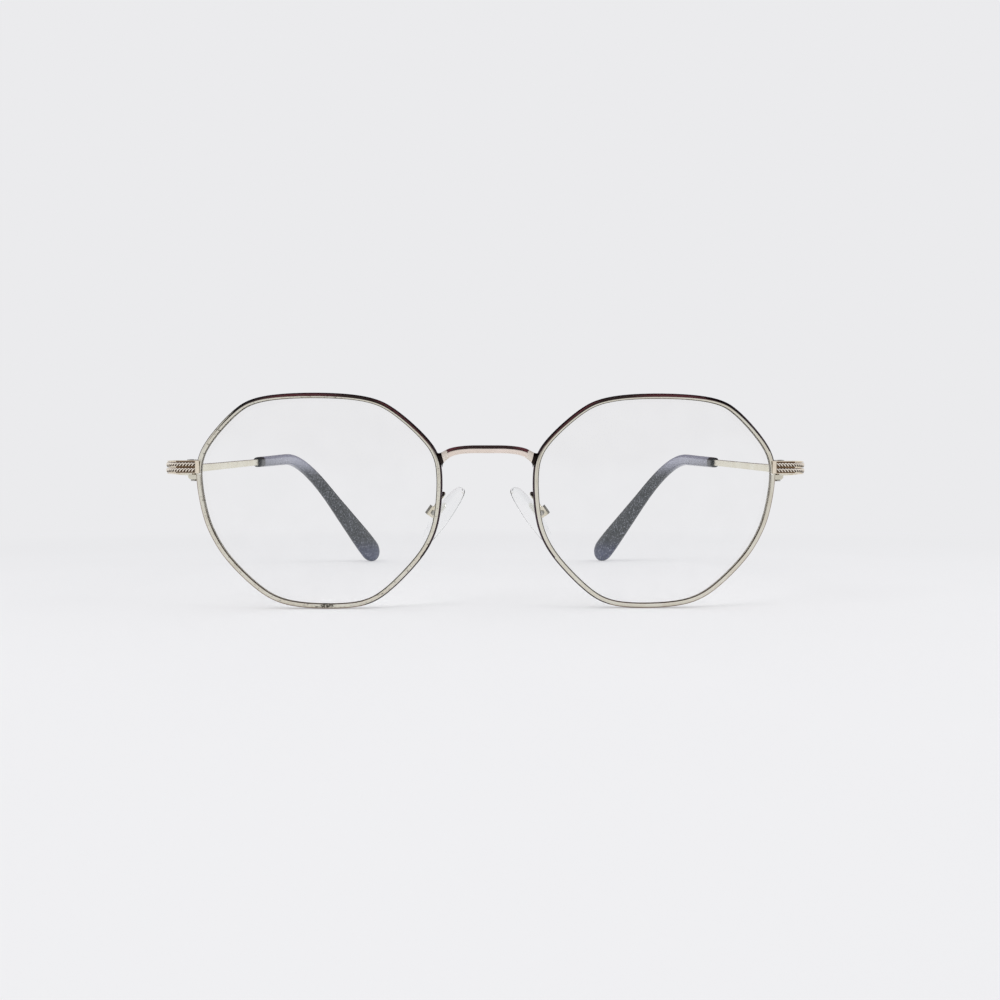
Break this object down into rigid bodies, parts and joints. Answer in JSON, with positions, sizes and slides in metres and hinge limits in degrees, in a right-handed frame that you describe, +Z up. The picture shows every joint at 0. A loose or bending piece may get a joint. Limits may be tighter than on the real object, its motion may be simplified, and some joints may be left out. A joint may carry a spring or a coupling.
{
  "type": "eyeglasses",
  "caption": "Pale gold wire eyeglasses with bowed octagonal rims, clear lenses, twisted-wire bands, rocking nose pads and folding temples with dark ear tips",
  "frame": {"origin": "the table point midway between the wearer's left and right, halfway from the lenses' front to the ends of the ear tips", "axes": "+X to the wearer's left, +Y from the lenses back to the ear tips, +Z up from the table the open glasses stand on"},
  "size_m": [0.139, 0.1362, 0.046],
  "materials": {
    "rim_wire": "polished pale gold plate on nickel alloy wire",
    "band": "polished pale gold plate, dark in the recesses",
    "temple": "polished pale gold plate on flat wire",
    "hinge": "satin pale gold plate",
    "pad_wire": "polished pale gold plate",
    "screw": "bright stainless steel",
    "lens": "clear optical resin",
    "pad": "clear soft plastic",
    "tip": "polished dark blue-grey acetate"
  },
  "bodies": {
    "front": {"bridge": "rim_wire", "rim_right": "rim_wire", "rim_left": "rim_wire", "lens_right": "lens", "lens_left": "lens", "end_piece_right": "band", "end_piece_left": "band", "rope_trim_right": "band", "rope_trim_left": "band", "closing_block_right": "band", "closing_block_left": "band", "closing_screw_right": "screw", "closing_screw_left": "screw", "hinge_front_right": "hinge", "hinge_front_left": "hinge", "hinge_screw_right": "screw", "hinge_screw_left": "screw", "pad_arm_right": "pad_wire", "pad_arm_left": "pad_wire", "pad_box_right": "pad_wire", "pad_box_left": "pad_wire", "pad_screw_right": "screw", "pad_screw_left": "screw"},
    "temple_right": {"hinge_temple_right": "hinge", "temple_bar_right": "temple", "temple_tip_right": "tip"},
    "temple_left": {"hinge_temple_left": "hinge", "temple_bar_left": "temple", "temple_tip_left": "tip"},
    "pad_right": {"pad_stem_right": "pad_wire", "nose_pad_right": "pad"},
    "pad_left": {"pad_stem_left": "pad_wire", "nose_pad_left": "pad"}
  },
  "joints": [
    {"name": "right_temple_fold", "type": "hinge", "parent": "front", "child": "temple_right", "pos_m": [-0.066, -0.05671, 0.03038], "axis": [0, 0, -1], "range_deg": [0, 70]},
    {"name": "left_temple_fold", "type": "hinge", "parent": "front", "child": "temple_left", "pos_m": [0.066, -0.05671, 0.03038], "axis": [0, 0, 1], "range_deg": [0, 82]},
    {"name": "right_pad_rock", "type": "hinge", "parent": "front", "child": "pad_right", "pos_m": [-0.0124, -0.05847, 0.02053], "axis": [0.2802, -0.9397, -0.1962], "range_deg": [-8, 8]},
    {"name": "left_pad_rock", "type": "hinge", "parent": "front", "child": "pad_left", "pos_m": [0.0124, -0.05847, 0.02053], "axis": [0.2802, 0.9397, 0.1962], "range_deg": [-8, 8]}
  ]
}
